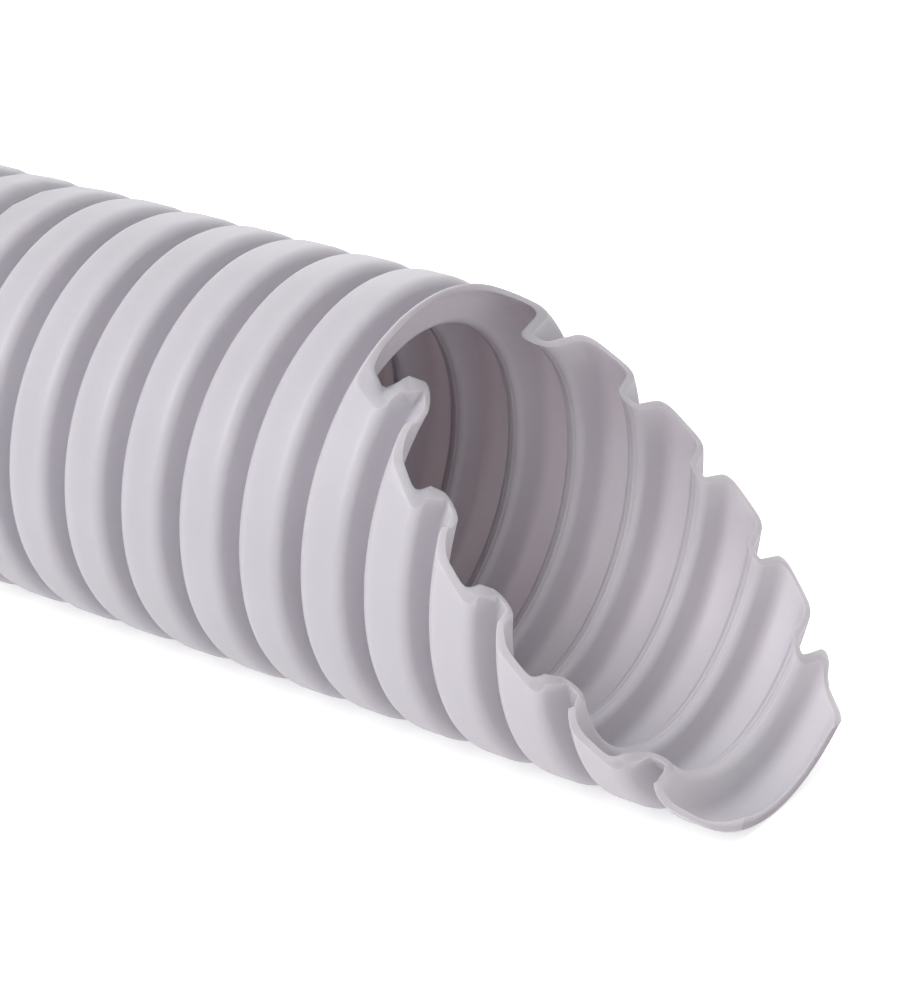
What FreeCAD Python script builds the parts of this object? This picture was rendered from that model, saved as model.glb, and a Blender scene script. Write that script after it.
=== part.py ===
import FreeCAD, Part

import os
from enum import IntEnum, auto
from math import hypot, radians, tan

import Sketcher


class Spot(IntEnum):
    """The two ends of a line, as a sketch numbers them."""

    START = auto()
    END = auto()


# A sketch numbers its own axes downwards, first the one across the page.
START, END = Spot
ORIGIN = -START
V_AXIS = -END

os.makedirs("parts", exist_ok=True)
doc = FreeCAD.newDocument("corrugated_conduit")

# Sizes of the conduit, in millimetres and degrees.
# The tube lies along X on the plane Z = 0 and its knife cut faces +X.
# One wave of the wall has a broad crest with eased shoulders outside,
# steep flanks and a narrow groove, which stands inside as a land of the bore.
SIZES = (
    ("outer_dia", 50.0, "outside diameter over the crests"),
    ("wave_depth", 4.2, "depth of the outside grooves"),
    ("wall", 0.8, "wall thickness"),
    ("ring_pitch", 8.3, "distance from one ring to the next"),
    ("ring_total", 120, "whole waves between the square end and the last crest"),
    ("crest_flat", 3.6, "straight part of a crest"),
    ("groove_flat", 1.2, "straight bottom of an outside groove"),
    ("shoulder_ease", 1.1, "eased corner of a crest, along and across the tube"),
    ("land_ease", 0.8, "eased corner of a land, along and across the tube"),
    ("cut_tilt", 46.8, "lean of the knife's slant away from square"),
    ("cut_reach", 8.0, "where the slant meets the bottom line, past the last crest centre"),
    ("lip_reach", 2.4, "blunt end of the tip, past the last crest centre"),
    ("heel_rings", 5, "rings between the square heel of the cut and the last crest"),
    ("heel_back", 2.2, "how far the heel lies behind the centre of its ring's crest"),
    ("cut_margin", 5.0, "clearance of the cutting wedge around the tube"),
)

sheet = doc.addObject("Spreadsheet::Sheet", "Sizes")
for row, (alias, value, note) in enumerate(SIZES, start=1):
    sheet.set(f"A{row}", note)
    sheet.set(f"B{row}", str(value))
    sheet.setAlias(f"B{row}", alias)
doc.recompute()

HALF_LENGTH = "(Sizes.ring_total * Sizes.ring_pitch + Sizes.lip_reach) / 2"
HEEL_BACK = "(Sizes.heel_rings * Sizes.ring_pitch + Sizes.heel_back)"

outer_radius = sheet.outer_dia / 2
groove_radius = outer_radius - sheet.wave_depth
bore_radius = groove_radius - sheet.wall
half_length = (sheet.ring_total * sheet.ring_pitch + sheet.lip_reach) / 2

body = doc.addObject("PartDesign::Body", "conduit")
body.Label = "conduit"


def point(x, y):
    """Return a point of a sketch."""
    return FreeCAD.Vector(x, y, 0)


def new_sketch(name, label):
    """Add a sketch on the body's upright plane along the tube, drawn about its axis."""
    sketch = body.newObject("Sketcher::SketchObject", name)
    sketch.Label = label
    plane = next(item for item in body.Origin.OriginFeatures if item.Role == "XZ_Plane")
    sketch.AttachmentSupport = [(plane, "")]
    sketch.MapMode = "FlatFace"
    sketch.setExpression("AttachmentOffset.Base.y", "Sizes.outer_dia / 2")
    return sketch


def chain(sketch, points):
    """Draw straight lines from point to point, joined end to end, and return them."""
    lines = []
    for first, last in zip(points, points[1:]):
        lines.append(sketch.addGeometry(Part.LineSegment(first, last)))
    for before, after in zip(lines, lines[1:]):
        tie(sketch, "Coincident", before, END, after, START)
    return lines


def tie(sketch, *rule):
    """Add a geometric rule to a sketch."""
    sketch.addConstraint(Sketcher.Constraint(*rule))


def drive(sketch, formula, *rule):
    """Add a dimension to a sketch and bind it to a formula of the sheet."""
    index = sketch.addConstraint(Sketcher.Constraint(*rule))
    sketch.setExpression(f"Constraints[{index}]", formula)


# The wall profile is one wave, from one crest centre to the next.
wave = new_sketch("wave_profile", "one wave of the wall")
wave.setExpression("AttachmentOffset.Base.x", f"-{HALF_LENGTH}")

# Outer face of the wave
crest_x = sheet.crest_flat / 2
shoulder_x = crest_x + sheet.shoulder_ease
shoulder_y = outer_radius - sheet.shoulder_ease
groove_x = (sheet.ring_pitch - sheet.groove_flat) / 2
pitch = sheet.ring_pitch
crest_1, ease_1, flank_1, groove, flank_2, ease_2, crest_2 = chain(
    wave,
    (
        point(0, outer_radius),
        point(crest_x, outer_radius),
        point(shoulder_x, shoulder_y),
        point(groove_x, groove_radius),
        point(pitch - groove_x, groove_radius),
        point(pitch - shoulder_x, shoulder_y),
        point(pitch - crest_x, outer_radius),
        point(pitch, outer_radius),
    ),
)
tie(wave, "PointOnObject", crest_1, START, V_AXIS)
tie(wave, "Horizontal", crest_1)
tie(wave, "Horizontal", groove)
tie(wave, "Horizontal", crest_2)
tie(wave, "Horizontal", crest_1, END, crest_2, START)
tie(wave, "Horizontal", ease_1, END, ease_2, START)
tie(wave, "Equal", crest_1, crest_2)
tie(wave, "Equal", ease_1, ease_2)
tie(wave, "Equal", flank_1, flank_2)
drive(
    wave,
    "Sizes.outer_dia / 2",
    *("DistanceY", ORIGIN, START, crest_1, START, outer_radius),
)
drive(
    wave,
    "Sizes.outer_dia / 2 - Sizes.wave_depth",
    *("DistanceY", ORIGIN, START, groove, START, groove_radius),
)
drive(
    wave,
    "Sizes.ring_pitch",
    *("DistanceX", crest_1, START, crest_2, END, pitch),
)
drive(
    wave,
    "Sizes.crest_flat / 2",
    *("DistanceX", crest_1, START, crest_1, END, crest_x),
)
drive(
    wave,
    "Sizes.groove_flat",
    *("DistanceX", groove, START, groove, END, sheet.groove_flat),
)
drive(
    wave,
    "Sizes.shoulder_ease",
    *("DistanceX", ease_1, START, ease_1, END, sheet.shoulder_ease),
)
drive(
    wave,
    "Sizes.shoulder_ease",
    *("DistanceY", ease_1, END, ease_1, START, sheet.shoulder_ease),
)

# Inner face of the wave, one wall inside the outer face
flank_run = groove_x - shoulder_x
flank_drop = shoulder_y - groove_radius
lean = flank_run / flank_drop
shift = sheet.wall * hypot(flank_run, flank_drop) / flank_drop
floor_radius = outer_radius - sheet.wall
floor_x = shoulder_x + lean * (shoulder_y - floor_radius) - shift
foot_y = bore_radius + sheet.land_ease
foot_x = shoulder_x + lean * (shoulder_y - foot_y) - shift
land_x = foot_x + sheet.land_ease
floor_1, inner_1, corner_1, land, corner_2, inner_2, floor_2 = chain(
    wave,
    (
        point(0, floor_radius),
        point(floor_x, floor_radius),
        point(foot_x, foot_y),
        point(land_x, bore_radius),
        point(pitch - land_x, bore_radius),
        point(pitch - foot_x, foot_y),
        point(pitch - floor_x, floor_radius),
        point(pitch, floor_radius),
    ),
)
tie(wave, "Horizontal", floor_1)
tie(wave, "Horizontal", land)
tie(wave, "Horizontal", floor_2)
tie(wave, "Horizontal", floor_1, END, floor_2, START)
tie(wave, "Horizontal", inner_1, END, inner_2, START)
tie(wave, "Parallel", inner_1, flank_1)
tie(wave, "Parallel", inner_2, flank_2)
tie(wave, "Equal", floor_1, floor_2)
tie(wave, "Equal", corner_1, corner_2)
drive(
    wave,
    "Sizes.wall",
    *("DistanceY", floor_1, START, crest_1, START, sheet.wall),
)
drive(
    wave,
    "Sizes.wall",
    *("Distance", inner_1, START, flank_1, sheet.wall),
)
drive(
    wave,
    "Sizes.outer_dia / 2 - Sizes.wave_depth - Sizes.wall",
    *("DistanceY", ORIGIN, START, land, START, bore_radius),
)
drive(
    wave,
    "Sizes.land_ease",
    *("DistanceX", corner_1, START, corner_1, END, sheet.land_ease),
)
drive(
    wave,
    "Sizes.land_ease",
    *("DistanceY", corner_1, END, corner_1, START, sheet.land_ease),
)

# Ends of the wave, where it meets its neighbours
for outside, inside, end, x in (
    (crest_1, floor_1, START, 0),
    (crest_2, floor_2, END, pitch),
):
    (seam,) = chain(wave, (point(x, outer_radius), point(x, floor_radius)))
    tie(wave, "Coincident", seam, START, outside, end)
    tie(wave, "Coincident", seam, END, inside, end)
    tie(wave, "Vertical", seam)

ring = body.newObject("PartDesign::Revolution", "ring")
ring.Label = "turned ring of the wall"
ring.Profile = wave
ring.ReferenceAxis = (wave, ["H_Axis"])
ring.Angle = 360

tube = body.newObject("PartDesign::LinearPattern", "rings")
tube.Label = "rings along the tube"
tube.Originals = [ring]
tube.Direction = (wave, ["H_Axis"])
tube.setExpression("Length", "Sizes.ring_total * Sizes.ring_pitch")
tube.setExpression("Occurrences", "Sizes.ring_total + 1")
body.Tip = tube

# The knife runs square across the top of the tube, just inside a ring's left flank.
# From there it slants down to the tip, which ends blunt on the shoulder of the last crest.
cut = new_sketch("knife_cut_profile", "wedge past the knife cut")
reach = outer_radius + sheet.cut_margin
slope = tan(radians(sheet.cut_tilt))
last_crest_x = half_length - sheet.lip_reach
heel_x = last_crest_x - sheet.heel_rings * sheet.ring_pitch - sheet.heel_back
far_x = last_crest_x + sheet.cut_reach + reach
lip_y = (sheet.cut_reach - sheet.lip_reach) / slope - outer_radius
heel_y = lip_y + (half_length - heel_x) / slope
lip, under, front, above, heel, slant = chain(
    cut,
    (
        point(half_length, lip_y),
        point(half_length, -reach),
        point(far_x, -reach),
        point(far_x, reach),
        point(heel_x, reach),
        point(heel_x, heel_y),
        point(half_length, lip_y),
    ),
)
tie(cut, "Coincident", slant, END, lip, START)
tie(cut, "Vertical", lip)
tie(cut, "Horizontal", under)
tie(cut, "Vertical", front)
tie(cut, "Horizontal", above)
tie(cut, "Vertical", heel)
drive(
    cut,
    HALF_LENGTH,
    *("DistanceX", ORIGIN, START, lip, START, half_length),
)
drive(
    cut,
    "Sizes.outer_dia / 2 + Sizes.cut_margin",
    *("DistanceY", under, START, ORIGIN, START, reach),
)
drive(
    cut,
    "Sizes.outer_dia / 2 + Sizes.cut_margin",
    *("DistanceY", ORIGIN, START, above, START, reach),
)
drive(
    cut,
    "Sizes.cut_reach - Sizes.lip_reach + Sizes.outer_dia / 2 + Sizes.cut_margin",
    *("DistanceX", lip, START, front, START, far_x - half_length),
)
drive(
    cut,
    "Sizes.outer_dia / 2 - (Sizes.cut_reach - Sizes.lip_reach) / tan(Sizes.cut_tilt * 1 deg)",
    *("DistanceY", lip, START, ORIGIN, START, -lip_y),
)
drive(
    cut,
    f"{HEEL_BACK} + Sizes.lip_reach",
    *("DistanceX", heel, START, lip, START, half_length - heel_x),
)
drive(
    cut,
    f"({HEEL_BACK} + Sizes.lip_reach) / tan(Sizes.cut_tilt * 1 deg)",
    *("DistanceY", lip, START, heel, END, heel_y - lip_y),
)

knife = body.newObject("PartDesign::Pocket", "knife_cut")
knife.Label = "knife cut"
knife.Profile = cut
knife.Midplane = True
knife.setExpression("Length", "Sizes.outer_dia + 2 * Sizes.cut_margin")
body.Tip = knife
doc.recompute()

for item in doc.Objects:
    if {"Invalid", "Error"} & set(item.State):
        raise RuntimeError(f"{item.Name} did not build: {item.State}")
if body.Shape.isNull() or not body.Shape.isValid() or len(body.Shape.Solids) != 1:
    raise RuntimeError("the conduit is not one valid solid")
body.Shape.exportStep("parts/conduit.step")
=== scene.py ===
"""Corrugated conduit: dressed model, studio and camera, in metres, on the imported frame."""

import logging
from dataclasses import dataclass, field
from enum import Enum
from math import hypot, radians, tan

import bmesh
import bpy
import numpy as np
from mathutils import Matrix, Vector


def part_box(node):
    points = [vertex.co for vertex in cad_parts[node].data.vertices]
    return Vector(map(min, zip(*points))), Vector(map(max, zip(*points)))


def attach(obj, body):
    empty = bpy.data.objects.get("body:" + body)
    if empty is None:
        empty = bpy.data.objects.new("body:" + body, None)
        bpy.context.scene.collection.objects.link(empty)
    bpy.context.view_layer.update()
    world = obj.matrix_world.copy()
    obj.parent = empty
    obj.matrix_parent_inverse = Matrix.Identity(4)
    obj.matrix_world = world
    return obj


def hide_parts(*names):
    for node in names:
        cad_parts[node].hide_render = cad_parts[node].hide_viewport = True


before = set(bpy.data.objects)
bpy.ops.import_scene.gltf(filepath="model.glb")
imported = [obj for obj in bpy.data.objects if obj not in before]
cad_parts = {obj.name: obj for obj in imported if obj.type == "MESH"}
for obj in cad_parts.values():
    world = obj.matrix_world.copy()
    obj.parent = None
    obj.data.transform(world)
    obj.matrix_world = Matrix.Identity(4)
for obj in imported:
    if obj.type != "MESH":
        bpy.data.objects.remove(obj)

LOG = logging.getLogger("corrugated_conduit")
MM = 0.001
WHITE = (1.0, 1.0, 1.0, 1.0)


class Face(Enum):
    """The faces of the wall that are finished differently, by their material's number."""

    MOULDED = 0
    CUT = 1
    # The lip's square face, whose darker finish is painted shade.
    BLUNT = 2


@dataclass(frozen=True)
class Wave:
    """Section of one wave of the wall, from one crest centre to the next.

    The corners are those of the straight-sided wave, and each is rounded by an arc. The
    four roundings are those of the crests and grooves outside, and of the lands and the
    hollows between them inside.
    """

    outer_radius: float = 25.0 * MM
    depth: float = 4.2 * MM
    wall: float = 0.8 * MM
    crest_wall: float = 0.62 * MM
    pitch: float = 8.3 * MM
    crest_width: float = 5.34 * MM
    groove_width: float = 1.2 * MM
    shoulder_round: float = 1.5 * MM
    groove_round: float = 0.45 * MM
    land_round: float = 1.28 * MM
    floor_round: float = 1.5 * MM

    @property
    def lean(self) -> float:
        """Return how far a flank leans along the tube for each unit across it."""
        return (self.pitch - self.groove_width - self.crest_width) / 2 / self.depth

    def outer_corners(self) -> tuple[tuple[float, float, float], ...]:
        """Return the corners of the outer face as place, radius and rounding.

        Returns:
            The four corners between two crest centres, from left to right.
        """
        crest = self.crest_width / 2
        groove = (self.pitch - self.groove_width) / 2
        top = self.outer_radius
        bottom = top - self.depth
        return (
            (crest, top, self.shoulder_round),
            (groove, bottom, self.groove_round),
            (self.pitch - groove, bottom, self.groove_round),
            (self.pitch - crest, top, self.shoulder_round),
        )

    def inner_corners(self) -> tuple[tuple[float, float, float], ...]:
        """Return the corners of the inner face, one wall inside the outer face.

        The crests and flanks are stretched thinner than the lands. A flank moves along the
        tube by its wall times the length of the flank over its height, and ahead by the
        lean for each unit that it goes down from the crest.

        Returns:
            The four corners between two crest centres, from left to right.
        """
        top = self.outer_radius - self.crest_wall
        bottom = self.outer_radius - self.depth - self.wall
        flank = self.crest_width / 2 - self.crest_wall * hypot(1.0, self.lean)
        floor = flank + self.lean * self.crest_wall
        land = flank + self.lean * (self.depth + self.wall)
        return (
            (floor, top, self.floor_round),
            (land, bottom, self.land_round),
            (self.pitch - land, bottom, self.land_round),
            (self.pitch - floor, top, self.floor_round),
        )


@dataclass(frozen=True)
class Detail:
    """How finely a stretch of the tube is drawn."""

    sides: int
    convex_steps: int
    concave_steps: int


def rounded_corner(
    before: Vector, corner: Vector, after: Vector, radius: float, steps: int
) -> np.ndarray:
    """Return the points of an arc that rounds one corner of a line.

    The arc touches both sides, at a distance from the corner of the radius times the
    tangent of half the turn, and its points are turned evenly about its centre.

    Args:
        before: The point that the line comes from.
        corner: The corner.
        after: The point that the line goes to.
        radius: The radius of the arc.
        steps: The number of chords in the arc, or 0 to keep the corner sharp.

    Returns:
        One row of place and radius for each point.
    """
    if steps == 0:
        return np.array([corner])
    into = (corner - before).normalized()
    out = (after - corner).normalized()
    turn = -into.angle_signed(out)
    reach = radius * tan(abs(turn) / 2)
    start = np.array(corner - into * reach)
    side = 1.0 if turn > 0 else -1.0
    normal = np.array((-into.y, into.x)) * side
    centre = start + normal * radius
    angles = side * np.linspace(0.0, abs(turn), steps + 1)
    spoke = start - centre
    return centre + np.column_stack(
        (
            spoke[0] * np.cos(angles) - spoke[1] * np.sin(angles),
            spoke[0] * np.sin(angles) + spoke[1] * np.cos(angles),
        )
    )


def wave_line(
    corners: tuple[tuple[float, float, float], ...], pitch: float, steps: tuple[int, ...]
) -> np.ndarray:
    """Return one wave of a face as points along the tube.

    Args:
        corners: Place, radius and rounding of each corner.
        pitch: The length of one wave.
        steps: The number of chords in the rounding of each corner.

    Returns:
        One row of place and radius for each point, without the two crest centres.
    """
    places = [Vector((0.0, corners[0][1]))]
    places += [Vector((x, r)) for x, r, _ in corners]
    places.append(Vector((pitch, corners[-1][1])))
    arcs = []
    for index, (corner, count) in enumerate(zip(corners, steps), start=1):
        arcs.append(
            rounded_corner(
                places[index - 1], places[index], places[index + 1], corner[2], count
            )
        )
    return np.vstack(arcs)


@dataclass(frozen=True)
class Shelf:
    """The level run of the knife from the heel to the slant, on the near side of the top.

    Its corner stands at a place across the tube and a height. Below that height the knife
    falls steeply, and it swings away to the far side, both as slopes. The lift says how
    much of the standing flanks the shelf keeps, in parts of what the slant keeps.
    """

    across: float = -16.4 * MM
    height: float = 43.9 * MM
    swing: float = 2.0
    fall: float = 5.0
    lift: float = 2.0


@dataclass(frozen=True)
class Bite:
    """The small hollow in the cut on the far side, just above the tip."""

    height: float = 7.5 * MM
    width: float = 2.0 * MM
    depth: float = 1.6 * MM


@dataclass(frozen=True)
class KnifeCut:
    """The knife cut at the end of the tube, with places along it from the last crest.

    It runs square across the top, at the heel, then along a shelf and down a slant, and
    ends at the lip. The hand wavers a little on the way, by so many waves to a turn.
    """

    tilt: float = radians(47.2)
    reach: float = 7.9 * MM
    swing: float = 0.06
    heel: float = 43.7 * MM
    knee: float = 1.4 * MM
    shelf: Shelf = Shelf()
    bite: Bite = Bite()
    lift: float = 2.0 * MM
    lift_depth: float = 2.0 * MM
    lift_reach: float = 14.0 * MM
    lip: float = 2.5 * MM
    lip_knee: float = 2.0 * MM
    tube_radius: float = 25.0 * MM
    waver: float = 0.1 * MM
    slow_turns: int = 3
    slow_shift: float = 0.6
    quick_turns: int = 7
    quick_share: float = 0.4

    @staticmethod
    def further(
        one: "np.ndarray | float", other: "np.ndarray | float", knee: "np.ndarray | float"
    ) -> np.ndarray:
        """Return the further of two paths, with a soft knee where they meet.

        It is half of the sum and of the root of the squared difference and squared knee.

        Args:
            one: The places along the tube of one path.
            other: The places along the tube of the other path.
            knee: The size of the knee.

        Returns:
            The places along the tube of the joined path.
        """
        return (one + other + np.hypot(one - other, knee)) / 2

    def stand(self, y: np.ndarray, z: np.ndarray, near: np.ndarray) -> np.ndarray:
        """Return how far ahead of the knife the flanks are left standing.

        Over the depth below the crests, in parts of the lift depth, it is the square of the
        depth times e to the power of one less the depth, which is largest at one part.
        Across the tube it is the smooth step of the nearness.

        Args:
            y: Places across the tube, from its axis.
            z: Heights above the floor.
            near: Nearness to the near side, from 0 to 1.

        Returns:
            The lengths along the tube.
        """
        depth = self.tube_radius - np.hypot(y, z - self.tube_radius)
        share = np.maximum(depth, 0.0) / self.lift_depth
        over_depth = (share * np.exp(1.0 - share)) ** 2
        return self.lift * over_depth * (near * near * (3.0 - 2.0 * near))

    def hand(self, y: np.ndarray, z: np.ndarray) -> np.ndarray:
        """Return how far the hand wavers, as a slow and a quick sine wave around the tube.

        Args:
            y: Places across the tube, from its axis.
            z: Heights above the floor.

        Returns:
            The lengths along the tube.
        """
        around = np.arctan2(y, z)
        slow = np.sin(self.slow_turns * around + self.slow_shift)
        quick = np.sin(self.quick_turns * around)
        return self.waver * (slow + self.quick_share * quick)

    def depart(self, y: np.ndarray, z: np.ndarray) -> np.ndarray:
        """Return how far past the last crest the knife is at each point across the tube.

        The slant falls back by the height times the slope of the knife, and swings ahead on
        the far side. The bite is a bell curve over the height. The slant ends at the lip,
        sharply on the far side and ever more softly across to the near side.

        Args:
            y: Places across the tube, from its axis.
            z: Heights above the floor.

        Returns:
            The places of the knife along the tube, from the last crest.
        """
        near = np.clip(-y / self.lift_reach, 0.0, 1.0)
        lift = self.stand(y, z, near)
        slant = self.reach + self.swing * y - z * tan(self.tilt) + lift
        bell = np.exp(-(((z - self.bite.height) / self.bite.width) ** 2))
        slant -= np.where(y > 0.0, self.bite.depth * bell, 0.0)
        shelf = self.shelf.swing * (y - self.shelf.across)
        shelf -= self.shelf.fall * (z - self.shelf.height) + self.heel
        shelf += self.shelf.lift * lift
        lower = -self.further(-slant, -shelf, self.knee)
        path = self.further(-self.heel, lower, self.knee) + self.hand(y, z)
        return -self.further(-path, -self.lip, self.lip_knee * near)


@dataclass
class Conduit:
    """The tube with its waves, its square end and its knife cut.

    The last rings, which the photo shows, are drawn finely, and those that the knife goes
    through more finely still. These two have the same sides, a multiple of the plain ones.
    Edges that turn by more than the sharp angle stay sharp.
    """

    wave: Wave = field(default_factory=Wave)
    knife: KnifeCut = field(default_factory=KnifeCut)
    rings: int = 120
    spare_rings: int = 2
    fine_rings: int = 12
    cut_rings: int = 6
    cut: Detail = Detail(sides=120, convex_steps=5, concave_steps=4)
    fine: Detail = Detail(sides=120, convex_steps=4, concave_steps=3)
    plain: Detail = Detail(sides=30, convex_steps=2, concave_steps=0)
    sharp: float = radians(40.0)

    @property
    def start(self) -> float:
        """Return the place of the square end along the tube."""
        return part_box("conduit")[0][0]

    @property
    def last_crest(self) -> float:
        """Return the place of the centre of the last crest."""
        return self.start + self.rings * self.wave.pitch

    def face_line(
        self, outside: bool, first: int, last: int, detail: Detail
    ) -> np.ndarray:
        """Return the line of one face of the wall over a run of waves.

        Args:
            outside: True for the outer face and False for the inner one.
            first: The number of the first wave.
            last: The number of the wave after the last one.
            detail: How finely the waves are drawn.

        Returns:
            One row of place and radius for each point, from left to right.
        """
        if outside:
            corners = self.wave.outer_corners()
            steps = (detail.convex_steps, detail.concave_steps)
        else:
            corners = self.wave.inner_corners()
            steps = (detail.concave_steps, detail.convex_steps)
        line = wave_line(corners, self.wave.pitch, (*steps, *reversed(steps)))
        places = self.start + np.arange(first, last) * self.wave.pitch
        run = np.repeat(line[None], len(places), axis=0)
        run[:, :, 0] += places[:, None]
        return run.reshape(-1, 2)

    @staticmethod
    def turn(line: np.ndarray, sides: int) -> np.ndarray:
        """Turn a line about the tube's axis.

        Each point goes across by its radius times the sine of the angle, and up from the
        axis by its radius times the cosine.

        Args:
            line: One row of place and radius for each point.
            sides: The number of steps around.

        Returns:
            The points, about the axis.
        """
        angles = np.linspace(0.0, 2.0 * np.pi, sides, endpoint=False)
        place = np.repeat(line[:, :1], sides, axis=1)
        across = line[:, 1:] * np.sin(angles)
        up = line[:, 1:] * np.cos(angles)
        return np.stack((place, across, up), axis=-1).reshape(-1, 3)

    @staticmethod
    def band(rows: int, sides: int, first: int) -> list:
        """Return the faces between the rows of points that go around the tube.

        Args:
            rows: The number of rows.
            sides: The number of points in a row.
            first: The number of the first point.

        Returns:
            The four corners of each face.
        """
        row = first + np.arange(rows - 1)[:, None] * sides
        here = np.arange(sides)[None, :]
        after = (here + 1) % sides
        corners = (row + here, row + sides + here, row + sides + after, row + after)
        return np.stack(corners, axis=-1).reshape(-1, 4).tolist()

    def joint(self, plain_first: int, fine_first: int, forward: bool) -> list:
        """Return the triangles between a plain row of points and a fine one.

        Args:
            plain_first: The number of the first point of the plain row.
            fine_first: The number of the first point of the fine row.
            forward: True where the fine row comes after the plain one.

        Returns:
            The three corners of each face.
        """
        plain, fine = self.plain.sides, self.fine.sides
        spread = fine // plain
        one = np.arange(plain)
        hub = plain_first + one
        next_hub = plain_first + (one + 1) % plain
        fan = [
            (
                hub,
                fine_first + one * spread + step,
                fine_first + (one * spread + step + 1) % fine,
            )
            for step in range(spread)
        ]
        fan.append((hub, fine_first + (one + 1) * spread % fine, next_hub))
        faces = np.concatenate([np.column_stack(corners) for corners in fan])
        return (faces if forward else faces[:, ::-1]).tolist()

    def wall(self) -> bpy.types.Mesh:
        """Build the closed wall of the tube before it is cut.

        It runs past the last crest by the spare rings, for the knife to cut off. Each point
        has a mark that is 1 on the inner face and 0 on the outer one.

        Returns:
            The mesh, about the axis.
        """
        change = self.rings - self.fine_rings
        knife = self.rings - self.cut_rings
        beyond = self.rings + self.spare_rings
        outer_plain = self.face_line(True, 0, change, self.plain)
        inner_plain = self.face_line(False, 0, change, self.plain)
        outer_fine, inner_fine = (
            np.vstack(
                (
                    self.face_line(outside, change, knife, self.fine),
                    self.face_line(outside, knife, beyond, self.cut),
                )
            )
            for outside in (True, False)
        )
        top = self.wave.outer_radius
        floor = top - self.wave.crest_wall
        far = self.start + beyond * self.wave.pitch
        plain_line = np.vstack(
            (inner_plain[::-1], (self.start, floor), (self.start, top), outer_plain)
        )
        fine_line = np.vstack((outer_fine, (far, top), (far, floor), inner_fine[::-1]))
        plain_rows, fine_rows = len(plain_line), len(fine_line)
        fine_first = plain_rows * self.plain.sides
        points = np.vstack(
            (self.turn(plain_line, self.plain.sides), self.turn(fine_line, self.fine.sides))
        )
        faces = self.band(plain_rows, self.plain.sides, 0)
        faces += self.band(fine_rows, self.fine.sides, fine_first)
        faces += self.joint(fine_first - self.plain.sides, fine_first, True)
        faces += self.joint(0, len(points) - self.fine.sides, False)
        mesh = bpy.data.meshes.new("conduit_wall")
        mesh.from_pydata(points, [], faces)
        inside = np.concatenate(
            (
                np.repeat(np.arange(plain_rows) <= len(inner_plain), self.plain.sides),
                np.repeat(np.arange(fine_rows) > len(outer_fine), self.fine.sides),
            )
        )
        mark = mesh.attributes.new("inside", "FLOAT", "POINT")
        mark.data.foreach_set("value", inside.astype(np.float32))
        return mesh

    @staticmethod
    def trim(mesh: bpy.types.Mesh, place: float, face: Face) -> None:
        """Cut the tube off square and close its wall with a cut face.

        Args:
            mesh: The mesh.
            place: The place of the cut along the tube.
            face: The kind of the new face.
        """
        work = bmesh.new()
        work.from_mesh(mesh)
        cut = bmesh.ops.bisect_plane(
            work,
            geom=[*work.verts, *work.edges, *work.faces],
            plane_co=(place, 0.0, 0.0),
            plane_no=(1.0, 0.0, 0.0),
            clear_outer=True,
        )
        rim = [part for part in cut["geom_cut"] if isinstance(part, bmesh.types.BMEdge)]
        filled = bmesh.ops.triangle_fill(work, edges=rim, use_beauty=True)
        for part in filled["geom"]:
            if isinstance(part, bmesh.types.BMFace):
                part.material_index = face.value
                if part.normal.x < 0.0:
                    part.normal_flip()
        work.to_mesh(mesh)
        work.free()

    def slide(self, mesh: bpy.types.Mesh, way: float) -> None:
        """Move each point along the tube by how far the knife is there.

        Args:
            mesh: The mesh, about the axis.
            way: -1 to make the knife's path square, or 1 to undo that.
        """
        points = read_points(mesh)
        height = points[:, 2] + self.wave.outer_radius
        points[:, 0] += way * self.knife.depart(points[:, 1], height)
        write_points(mesh, points)

    def build(self) -> bpy.types.Object:
        """Build the wall, cut its end and lay it on the floor.

        The knife's path is made square, cut there and undone again, and the lip is then cut
        square at the end of the part. Only the lip's face is flat, and the rest is smooth.

        Returns:
            The finished object, at the origin.
        """
        mesh = self.wall()
        self.slide(mesh, -1.0)
        self.trim(mesh, self.last_crest, Face.CUT)
        self.slide(mesh, 1.0)
        self.trim(mesh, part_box("conduit")[1][0], Face.BLUNT)
        points = read_points(mesh)
        points[:, 2] += self.wave.outer_radius
        write_points(mesh, points)
        kinds = np.empty(len(mesh.polygons), dtype=np.int32)
        mesh.polygons.foreach_get("material_index", kinds)
        mesh.polygons.foreach_set("use_smooth", kinds != Face.BLUNT.value)
        mesh.set_sharp_from_angle(angle=self.sharp)
        piece = bpy.data.objects.new("conduit_wall", mesh)
        bpy.context.scene.collection.objects.link(piece)
        return piece


def read_points(mesh: bpy.types.Mesh) -> np.ndarray:
    """Return the places of a mesh's points.

    Args:
        mesh: The mesh.

    Returns:
        One row for each point.
    """
    places = np.empty(len(mesh.vertices) * 3)
    mesh.vertices.foreach_get("co", places)
    return places.reshape(-1, 3)


def write_points(mesh: bpy.types.Mesh, points: np.ndarray) -> None:
    """Set the places of a mesh's points from one row for each."""
    mesh.vertices.foreach_set("co", points.ravel())
    mesh.update()


def srgb(red: int, green: int, blue: int) -> tuple[float, float, float, float]:
    """Return the linear colour of display values from 0 to 255.

    Above 0.04045 a value is the sum with 0.055, over 1.055, to the power of 2.4.

    Args:
        red: The red value.
        green: The green value.
        blue: The blue value.

    Returns:
        The colour with full opacity.
    """
    linear = [((value / 255 + 0.055) / 1.055) ** 2.4 for value in (red, green, blue)]
    return (*linear, 1.0)


def worked_out(
    tree: bpy.types.NodeTree,
    operation: str,
    first: bpy.types.NodeSocket,
    second: "bpy.types.NodeSocket | float | None" = None,
) -> bpy.types.NodeSocket:
    """Return the result of a sum of one or two values.

    Args:
        tree: The node tree to add the node to.
        operation: The name of the sum.
        first: The first value.
        second: The second value, if the sum has one.

    Returns:
        The output that carries the result.
    """
    node = tree.nodes.new("ShaderNodeMath")
    node.operation = operation
    tree.links.new(first, node.inputs[0])
    if isinstance(second, float):
        node.inputs[1].default_value = second
    elif second is not None:
        tree.links.new(second, node.inputs[1])
    return node.outputs["Value"]


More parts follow.
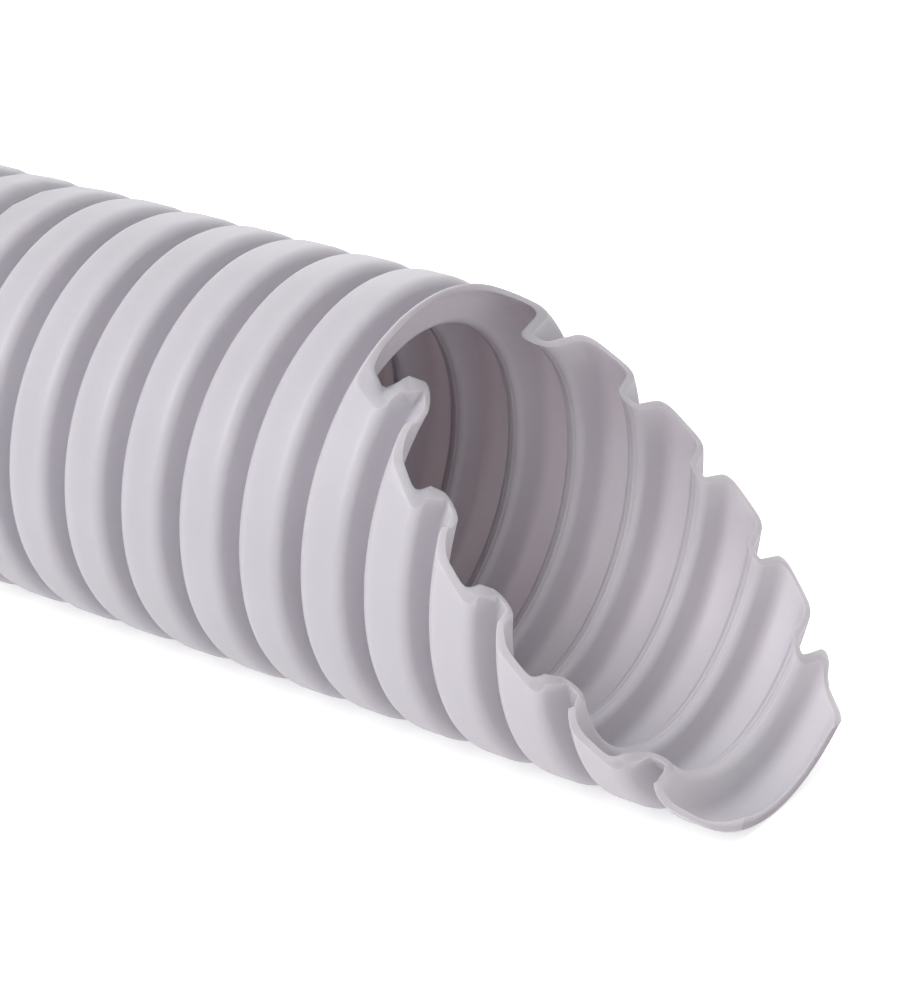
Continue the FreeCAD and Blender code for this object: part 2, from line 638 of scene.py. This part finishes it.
@dataclass(frozen=True)
class LandLines:
    """Two fine moulded lines along each land inside the tube, as parts of a wave."""

    places: tuple[float, float] = (0.46, 0.53)
    half_width: float = 0.028
    depth: float = 0.06 * MM

    def build(
        self, tree: bpy.types.NodeTree, start: float, pitch: float
    ) -> bpy.types.NodeSocket:
        """Return the height of the wall at the lines, below 0 along them.

        A line is a valley over its distance along the tube, in parts of a wave, and only
        the inner face has it.

        Args:
            tree: The node tree to add the nodes to.
            start: The place of the first crest along the tube.
            pitch: The length of a wave.

        Returns:
            The output that carries the height, in metres.
        """
        place = tree.nodes.new("ShaderNodeTexCoord")
        apart = tree.nodes.new("ShaderNodeSeparateXYZ")
        inside = tree.nodes.new("ShaderNodeAttribute")
        inside.attribute_name = "inside"
        tree.links.new(place.outputs["Object"], apart.inputs["Vector"])
        waves = worked_out(tree, "SUBTRACT", apart.outputs["X"], start)
        waves = worked_out(tree, "DIVIDE", waves, pitch)
        part = worked_out(tree, "FRACT", waves)
        gaps = []
        for line in self.places:
            gap = worked_out(tree, "SUBTRACT", part, line)
            gaps.append(worked_out(tree, "ABSOLUTE", gap))
        nearest = worked_out(tree, "MINIMUM", *gaps)
        valley = tree.nodes.new("ShaderNodeMapRange")
        valley.interpolation_type = "SMOOTHSTEP"
        valley.inputs["From Max"].default_value = self.half_width
        valley.inputs["To Min"].default_value = -self.depth
        valley.inputs["To Max"].default_value = 0.0
        tree.links.new(nearest, valley.inputs["Value"])
        return worked_out(tree, "MULTIPLY", valley.outputs["Result"], inside.outputs["Fac"])


@dataclass(frozen=True)
class PlasticFinish:
    """A satin plastic with faint clouds of tone and sheen.

    The scales are in clouds and grains to the metre. The glow is the part of the light
    that spreads inside the plastic, so far in each of red, green and blue.
    """

    name: str
    light_tone: tuple[int, int, int]
    dark_tone: tuple[int, int, int]
    roughness_low: float
    roughness_high: float
    cloud_scale: float = 45.0
    grain_scale: float = 900.0
    grain_height: float = 0.00003
    cloud_detail: float = 4.0
    cloud_range: tuple[float, float] = (0.3, 0.7)
    refraction: float = 1.5
    glow: float = 0.9
    glow_reach: float = 2.0 * MM
    glow_colours: tuple[float, float, float] = (1.0, 0.9, 0.85)
    lines: LandLines = LandLines()

    def build(self, start: float, pitch: float) -> bpy.types.Material:
        """Return the material.

        Args:
            start: The place of the first crest along the tube.
            pitch: The length of a wave.

        Returns:
            The material.
        """
        material = bpy.data.materials.new(self.name)
        material.use_nodes = True
        tree = material.node_tree
        shader = tree.nodes["Principled BSDF"]
        place = tree.nodes.new("ShaderNodeTexCoord")
        cloud = tree.nodes.new("ShaderNodeTexNoise")
        cloud.inputs["Scale"].default_value = self.cloud_scale
        cloud.inputs["Detail"].default_value = self.cloud_detail
        tone = tree.nodes.new("ShaderNodeValToRGB")
        tones = (self.dark_tone, self.light_tone)
        stops = zip(tone.color_ramp.elements, self.cloud_range, tones)
        for stop, position, colour in stops:
            stop.position = position
            stop.color = srgb(*colour)
        sheen = tree.nodes.new("ShaderNodeMapRange")
        sheen.inputs["To Min"].default_value = self.roughness_low
        sheen.inputs["To Max"].default_value = self.roughness_high
        grain = tree.nodes.new("ShaderNodeTexNoise")
        grain.inputs["Scale"].default_value = self.grain_scale
        bump = tree.nodes.new("ShaderNodeBump")
        bump.inputs["Distance"].default_value = 1.0
        rise = worked_out(tree, "MULTIPLY", grain.outputs["Fac"], self.grain_height)
        lines = self.lines.build(tree, start, pitch)
        tree.links.new(place.outputs["Object"], cloud.inputs["Vector"])
        tree.links.new(place.outputs["Object"], grain.inputs["Vector"])
        tree.links.new(cloud.outputs["Fac"], tone.inputs["Fac"])
        tree.links.new(cloud.outputs["Fac"], sheen.inputs["Value"])
        tree.links.new(worked_out(tree, "ADD", rise, lines), bump.inputs["Height"])
        tree.links.new(tone.outputs["Color"], shader.inputs["Base Color"])
        tree.links.new(sheen.outputs["Result"], shader.inputs["Roughness"])
        tree.links.new(bump.outputs["Normal"], shader.inputs["Normal"])
        shader.inputs["Subsurface Weight"].default_value = self.glow
        shader.inputs["Subsurface Radius"].default_value = self.glow_colours
        shader.inputs["Subsurface Scale"].default_value = self.glow_reach
        shader.inputs["IOR"].default_value = self.refraction
        return material


FINISHES = {
    Face.MOULDED: PlasticFinish(
        name="moulded_plastic",
        light_tone=(206, 202, 209),
        dark_tone=(201, 197, 204),
        roughness_low=0.42,
        roughness_high=0.5,
    ),
    Face.CUT: PlasticFinish(
        name="cut_plastic",
        light_tone=(199, 195, 202),
        dark_tone=(182, 178, 185),
        roughness_low=0.6,
        roughness_high=0.7,
        grain_height=0.00006,
        lines=LandLines(depth=0.0),
    ),
    # The lip's square face gets darker tones as painted shade, because it faces away from
    # the lamps.
    Face.BLUNT: PlasticFinish(
        name="lip_plastic_painted_shade",
        light_tone=(182, 177, 185),
        dark_tone=(162, 156, 165),
        roughness_low=0.7,
        roughness_high=0.85,
        grain_height=0.0001,
        lines=LandLines(depth=0.0),
    ),
}


@dataclass(frozen=True)
class SoftLamp:
    """A large square lamp that shines on the tube's cut end."""

    name: str
    place: tuple[float, float, float]
    size: float
    power: float

    def build(self, target: Vector) -> bpy.types.Object:
        """Return the lamp, turned to the target.

        Args:
            target: The point that the lamp shines on.

        Returns:
            The lamp.
        """
        light = bpy.data.lights.new(self.name, "AREA")
        light.size = self.size
        light.energy = self.power
        lamp = bpy.data.objects.new(self.name, light)
        lamp.location = target + Vector(self.place)
        lamp.rotation_euler = (-Vector(self.place)).to_track_quat("-Z", "Y").to_euler()
        bpy.context.scene.collection.objects.link(lamp)
        return lamp


@dataclass(frozen=True)
class Studio:
    """The floor, the lamps, the world and the camera.

    The camera's place and its three directions were worked out from the photographed view.
    """

    floor_size: float = 12.0
    floor_tone: tuple[int, int, int] = (252, 252, 252)
    floor_roughness: float = 0.9
    floor_glow: float = 0.55
    world_strength: float = 0.4
    lens: float = 97.676
    nearest: float = 10.0 * MM
    camera_place: tuple[float, float, float] = (0.609201, -0.237274, 0.144233)
    camera_right: tuple[float, float, float] = (0.829486, 0.557173, 0.03887)
    camera_down: tuple[float, float, float] = (0.245912, -0.30184, -0.921097)
    camera_ahead: tuple[float, float, float] = (-0.501478, 0.773596, -0.387388)
    lit_back: float = 30.0 * MM
    lamps: tuple[SoftLamp, ...] = (
        SoftLamp("key", (-0.1, -1.35, 1.1), 1.0, 16.8),
        SoftLamp("top", (-0.3, 0.2, 1.8), 1.4, 7.0),
        SoftLamp("back", (-0.7, 1.5, 0.8), 1.2, 4.5),
    )

    @staticmethod
    def seen(tree: bpy.types.NodeTree) -> bpy.types.NodeSocket:
        """Return 1 for rays from the camera, also by way of a sheen or a clear part.

        Args:
            tree: The node tree to add the nodes to.

        Returns:
            The output that carries the value.
        """
        ray = tree.nodes.new("ShaderNodeLightPath")
        straight, sheen = ray.outputs["Is Camera Ray"], ray.outputs["Is Glossy Ray"]
        either = worked_out(tree, "MAXIMUM", straight, sheen)
        return worked_out(tree, "MAXIMUM", either, ray.outputs["Is Transmission Ray"])

    def floor(self) -> bpy.types.Object:
        """Build the floor that the tube lies on, lifted to white for the camera alone.

        Returns:
            The floor.
        """
        half = self.floor_size / 2
        mesh = bpy.data.meshes.new("floor")
        around = ((-half, -half), (half, -half), (half, half), (-half, half))
        mesh.from_pydata([(x, y, 0.0) for x, y in around], [], [(0, 1, 2, 3)])
        material = bpy.data.materials.new("floor")
        material.use_nodes = True
        tree = material.node_tree
        shader = tree.nodes["Principled BSDF"]
        shader.inputs["Base Color"].default_value = srgb(*self.floor_tone)
        shader.inputs["Roughness"].default_value = self.floor_roughness
        glow = tree.nodes.new("ShaderNodeEmission")
        glow.inputs["Strength"].default_value = self.floor_glow
        lifted = tree.nodes.new("ShaderNodeAddShader")
        mix = tree.nodes.new("ShaderNodeMixShader")
        output = tree.nodes["Material Output"]
        tree.links.new(shader.outputs["BSDF"], lifted.inputs[0])
        tree.links.new(glow.outputs["Emission"], lifted.inputs[1])
        tree.links.new(self.seen(tree), mix.inputs["Fac"])
        tree.links.new(shader.outputs["BSDF"], mix.inputs[1])
        tree.links.new(lifted.outputs["Shader"], mix.inputs[2])
        tree.links.new(mix.outputs["Shader"], output.inputs["Surface"])
        mesh.materials.append(material)
        floor = bpy.data.objects.new("floor", mesh)
        bpy.context.scene.collection.objects.link(floor)
        return floor

    def world(self) -> None:
        """Light the scene from all round and show white behind it."""
        world = bpy.data.worlds.new("studio")
        world.use_nodes = True
        tree = world.node_tree
        around = tree.nodes["Background"]
        behind = tree.nodes.new("ShaderNodeBackground")
        for light, strength in ((around, self.world_strength), (behind, 1.0)):
            light.inputs["Color"].default_value = WHITE
            light.inputs["Strength"].default_value = strength
        mix = tree.nodes.new("ShaderNodeMixShader")
        output = tree.nodes["World Output"]
        tree.links.new(self.seen(tree), mix.inputs["Fac"])
        tree.links.new(around.outputs["Background"], mix.inputs[1])
        tree.links.new(behind.outputs["Background"], mix.inputs[2])
        tree.links.new(mix.outputs["Shader"], output.inputs["Surface"])
        bpy.context.scene.world = world

    def camera(self) -> bpy.types.Object:
        """Place the camera where the photographed view was taken from.

        Returns:
            The camera.
        """
        data = bpy.data.cameras.new("camera")
        data.lens = self.lens
        data.clip_start = self.nearest
        camera = bpy.data.objects.new("camera", data)
        right = Vector(self.camera_right)
        up = -Vector(self.camera_down)
        back = -Vector(self.camera_ahead)
        turn = Matrix((right, up, back)).transposed()
        camera.matrix_world = Matrix.Translation(self.camera_place) @ turn.to_4x4()
        bpy.context.scene.collection.objects.link(camera)
        bpy.context.scene.camera = camera
        return camera

    def build(self, conduit: Conduit) -> None:
        """Build the studio, with its lamps turned to the tube's cut end.

        They shine on the axis, a little behind the last crest.

        Args:
            conduit: The tube that lies in it.
        """
        place = conduit.last_crest - self.lit_back
        target = Vector((place, 0.0, conduit.wave.outer_radius))
        floor = self.floor()
        lamps = [lamp.build(target) for lamp in self.lamps]
        self.world()
        camera = self.camera()


def main() -> None:
    """Build the conduit, the studio and the camera, and report each piece."""
    logging.basicConfig(level=logging.INFO, format="%(name)s: %(message)s")
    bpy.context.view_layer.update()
    conduit = Conduit()
    piece = conduit.build()
    for face in Face:
        finish = FINISHES[face].build(conduit.start, conduit.wave.pitch)
        piece.data.materials.append(finish)
    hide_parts("conduit")
    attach(piece, "root")
    piece.data.calc_loop_triangles()
    LOG.info("%s: %d triangles", piece.name, len(piece.data.loop_triangles))
    Studio().build(conduit)
    bpy.context.scene.view_settings.view_transform = "Standard"


if __name__ == "__main__":
    main()
